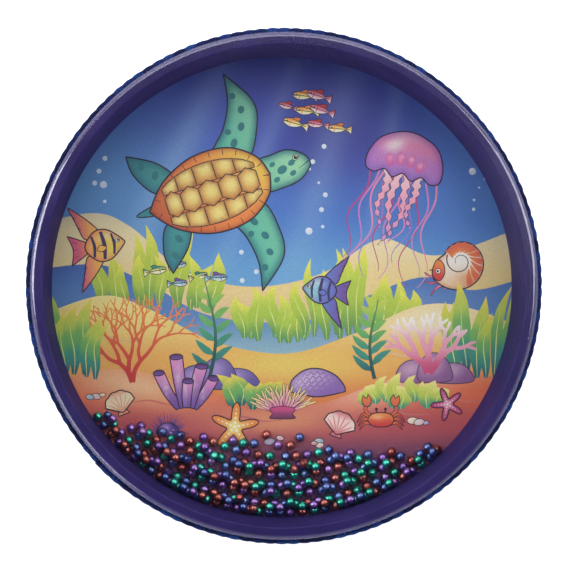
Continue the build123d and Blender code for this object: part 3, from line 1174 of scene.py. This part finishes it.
def weave(mesh, root_r):
    """Raises slanted yarns out of the plain hoop, course by course, and lifts the lap."""
    dice = np.random.default_rng(4)
    points = np.empty(len(mesh.vertices) * 3)
    mesh.vertices.foreach_get("co", points)
    points = points.reshape(-1, 3)
    plain = np.hypot(points[:, 0], points[:, 1])
    turn = np.arctan2(points[:, 1], points[:, 0])
    along = (turn - LAP_END) % (2 * np.pi)
    up = np.clip((points[:, 2] - band_low) / (band_high - band_low), 0, 1) * COURSES
    course = np.clip(np.floor(up), 0, COURSES - 1).astype(int)
    across = up - course - 0.5
    slant = np.where(course % 2 == 0, 1.0, -1.0)
    phase = along / (2 * np.pi) * (RIBS - BREAK) + slant * across * SLANT + course * SHIFT
    rounded = np.abs(np.sin(np.pi * phase)) ** FULLNESS
    at_selvage = (course == 0) & (across < 0) | (course == COURSES - 1) & (across > 0)
    tucked = np.where(at_selvage, 1, 1 - np.abs(2 * across) ** TUCK_POWER)
    sealed = along * band_r < SEALED
    raised = np.where(sealed, SEALED_HEIGHT, rounded * (TUCK_LEFT + (1 - TUCK_LEFT) * tucked))
    lot = dice.random((COURSES, RIBS))[course, np.floor(phase).astype(int) % RIBS]
    lot = np.where(sealed, SEALED_SHADE, lot)
    lap = np.clip(1 - along / (LAP_START - LAP_END), 0, 1)
    relief = PROUD + RELIEF * (raised * (1 - UNEVEN + UNEVEN * lot) - 1) + LAP_RISE * lap
    radius = plain + relief * (plain - root_r) / (band_r - root_r)
    points[:, 0] = radius * np.cos(turn)
    points[:, 1] = radius * np.sin(turn)
    mesh.vertices.foreach_set("co", points.ravel())
    ply = np.where(sealed, 0, 2 * np.pi * (PLIES * phase - slant * across * TWIST))
    for name, values in (("yarn", lot), ("raised", raised), ("ply", ply)):
        mesh.attributes.new(name, "FLOAT", "POINT").data.foreach_set("value", values.astype(np.float32))


# The beads

BEAD_HOLE = 0.65 * MM  # radius
BEAD_SEGMENTS, BEAD_BELTS = 12, 7
BEAD_POLE = 0.85  # of the radius, where the corners round the hole begin
BEAD_LIP = 0.15 * MM  # that they are moved outwards
HOLE_REACH = 0.7  # of the radius, within which only the hole's own faces have their middles


def drilled_bead():
    """A round bead whose poles are opened to a thread hole along Z."""
    piece = fresh(
        "drilled_bead", bpy.ops.mesh.primitive_uv_sphere_add,
        segments=BEAD_SEGMENTS, ring_count=BEAD_BELTS, radius=bead_r,
    )
    growth = BEAD_HOLE / (bead_r * math.sin(math.pi / BEAD_BELTS))
    with editing(piece, "VERT"):
        choose(piece, "verts", lambda v: off_axis(v.co) < NEAR)
        bpy.ops.mesh.delete(type="VERT")
        for side in (1, -1):
            choose(piece, "verts", lambda v: v.co.z * side > bead_r * BEAD_POLE)
            bpy.ops.transform.resize(value=(growth, growth, 1))
            bpy.ops.transform.translate(value=(0, 0, side * BEAD_LIP))
    with editing(piece):
        choose_open_edges(piece)
        bpy.ops.mesh.bridge_edge_loops()
        face_outwards()
    return piece


def bead_places(node):
    """Centre and thread direction of each bead in a node, found from its loose pieces."""
    mesh = bmesh.new()
    mesh.from_mesh(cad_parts[node].data)
    bmesh.ops.remove_doubles(mesh, verts=mesh.verts, dist=MERGE)
    mesh.faces.index_update()
    waiting = set(mesh.verts)
    places = []
    while waiting:
        group, queue = set(), [waiting.pop()]
        while queue:
            vertex = queue.pop()
            group.add(vertex)
            for edge in vertex.link_edges:
                other = edge.other_vert(vertex)
                if other in waiting:
                    waiting.discard(other)
                    queue.append(other)
        spots = [v.co for v in group]
        low = Vector(min(s[i] for s in spots) for i in range(3))
        high = Vector(max(s[i] for s in spots) for i in range(3))
        centre = (low + high) / 2
        axis = Vector()
        faces = {face for vertex in group for face in vertex.link_faces}
        for face in sorted(faces, key=lambda f: f.index):
            if (face.calc_center_median() - centre).length < HOLE_REACH * bead_r:
                end = max((v.co - centre for v in face.verts), key=lambda d: d.length)
                axis += end if end.dot(axis) >= 0 else -end
        places.append((centre, axis.normalized()))
    mesh.free()
    places.sort(key=lambda place: tuple(round(c, 6) for c in place[0]))
    return places


def bead_group(bead, colour, ring, material):
    """Copies of the bead at the places of a node, each with a tint of its own, as one piece."""
    node = f"{colour}_beads_ring_{ring}"
    dice = random.Random(node)
    copies = []
    for centre, axis in bead_places(node):
        copy = bead.copy()
        copy.data = bead.data.copy()
        bpy.context.scene.collection.objects.link(copy)
        turn = axis.to_track_quat("Z", "Y").to_matrix().to_4x4()
        copy.data.transform(Matrix.Translation(centre) @ turn)
        tint = copy.data.attributes.new("tint", "FLOAT", "POINT")
        tint.data.foreach_set("value", [dice.random()] * len(copy.data.vertices))
        copies.append(copy)
    pick(*copies)
    bpy.ops.object.join()
    piece = bpy.context.object
    piece.name = piece.data.name = f"{colour}_lacquered_beads_{ring}"
    smooth(piece)
    dress(piece, material)
    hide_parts(node)
    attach(piece, f"bead_ring_{ring}")


def beads():
    bead = drilled_bead()
    for colour in BEAD_TINTS:
        material = bead_lacquer(colour)
        for ring in range(1, 5):
            bead_group(bead, colour, ring, material)
    bpy.data.objects.remove(bead)


# Floor, lights and camera

FLOOR_GAP = 0.2 * MM  # under the drum
FLOOR_SEEN, FLOOR_MIRRORED = 0.6, 0.15  # its own light, to the lens and in gloss or glass
LAMP_AIM = Vector((0, 0, 0.03))


def studio_floor():
    """A pale floor that the lens sees a little brighter than the lamps leave it."""
    piece = fresh(
        "studio_floor", bpy.ops.mesh.primitive_plane_add,
        size=6, location=(0, 0, drum_low - FLOOR_GAP),
    )
    finish = Finish("studio_floor")
    ray = finish.node("LightPath").outputs
    mirrored = finish.math("MAXIMUM", ray["Is Glossy Ray"], ray["Is Transmission Ray"])
    seen = finish.math("MULTIPLY", ray["Is Camera Ray"], FLOOR_SEEN)
    finish.set(
        base_color=(0.8, 0.8, 0.8, 1), roughness=0.9, emission_color=(1, 1, 1, 1),
        emission_strength=finish.math("MULTIPLY_ADD", mirrored, FLOOR_MIRRORED, seen),
    )
    dress(piece, finish.material)


def studio_room():
    """A room that is pale at the sides and dark above, and lighter towards +Y."""
    world = bpy.data.worlds.new("studio")
    world.use_nodes = True
    nodes, links = world.node_tree.nodes, world.node_tree.links
    background = nodes["Background"].inputs
    split = nodes.new("ShaderNodeSeparateXYZ")
    links.new(nodes.new("ShaderNodeTexCoord").outputs["Generated"], split.inputs[0])
    ramp = nodes.new("ShaderNodeValToRGB")
    stops = ((0.35, (0.8, 0.81, 0.85, 1)), (0.9, (0.035, 0.037, 0.046, 1)))
    for element, (place, colour) in zip(ramp.color_ramp.elements, stops):
        element.position = place
        element.color = colour
    links.new(split.outputs["Z"], ramp.inputs["Fac"])
    links.new(ramp.outputs["Color"], background["Color"])
    dimmer = nodes.new("ShaderNodeMapRange")
    for name, value in (("From Min", -1), ("To Min", 0.3), ("To Max", 1.4)):
        dimmer.inputs[name].default_value = value
    links.new(split.outputs["Y"], dimmer.inputs["Value"])
    links.new(dimmer.outputs["Result"], background["Strength"])
    bpy.context.scene.world = world


def softbox(name, place, size, power):
    """A soft lamp that points at the drum."""
    data = bpy.data.lights.new(name, "AREA")
    data.shape = "RECTANGLE"
    data.size, data.size_y = size
    data.energy = power
    lamp = bpy.data.objects.new(name, data)
    lamp.location = place
    lamp.rotation_euler = (LAMP_AIM - Vector(place)).to_track_quat("-Z", "Y").to_euler()
    bpy.context.scene.collection.objects.link(lamp)
    return lamp


def studio_light():
    """Softboxes in an arch round the lens, a strip for gloss alone, and fills without gloss."""
    studio_room()
    softbox("upper_softbox", (0.0, 0.85, 1.3), (1.4, 0.8), 7.5)
    softbox("left_softbox", (-1.2, 0.3, 1.05), (0.75, 1.1), 15)
    softbox("right_softbox", (0.9, 0.3, 1.3), (0.6, 1.0), 8)
    softbox("lower_left_strip", (-1.0, -0.75, 1.05), (0.75, 1.1), 5).visible_diffuse = False
    softbox("overhead_fill", (0.0, 0.6, 1.5), (1.0, 1.0), 12.4).visible_glossy = False
    softbox("lower_fill", (0.0, -1.35, 0.6), (1.0, 0.6), 10.5).visible_glossy = False
    bpy.context.scene.view_settings.view_transform = "Standard"


VIEW_HEIGHT = 1.2  # from the clear head to the lens
VIEW_SIDE = Vector((-0.031, -0.018, 0))  # of the lens, from the drum's axis
PIXELS = 570
PIXELS_PER_METRE = 1675  # at the clear head
AXIS_PIXEL = (285.0, 285.2)  # where the drum's axis meets the clear head


def camera():
    data = bpy.data.cameras.new("camera")
    data.sensor_width = 36
    data.lens = PIXELS_PER_METRE * VIEW_HEIGHT * data.sensor_width / PIXELS
    eye = VIEW_SIDE + Vector((0, 0, drum_high + VIEW_HEIGHT))
    off_x = (PIXELS / 2 - AXIS_PIXEL[0]) / PIXELS_PER_METRE
    off_y = (AXIS_PIXEL[1] - PIXELS / 2) / PIXELS_PER_METRE
    forward = (Vector((off_x, off_y, drum_high)) - eye).normalized()
    right = forward.cross(Vector((0, 1, 0))).normalized()
    turn = Matrix((right, right.cross(forward), -forward)).transposed().to_4x4()
    lens = bpy.data.objects.new("camera", data)
    lens.matrix_world = Matrix.Translation(eye) @ turn
    bpy.context.scene.collection.objects.link(lens)
    bpy.context.scene.camera = lens


shell_ring()
clear_drumhead()
printed_drumhead()
woven_band()
beads()
glue = set_glue()
for node in ("front_glue_ring", "back_glue_ring"):
    dress(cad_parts[node], glue)
studio_floor()
studio_light()
camera()
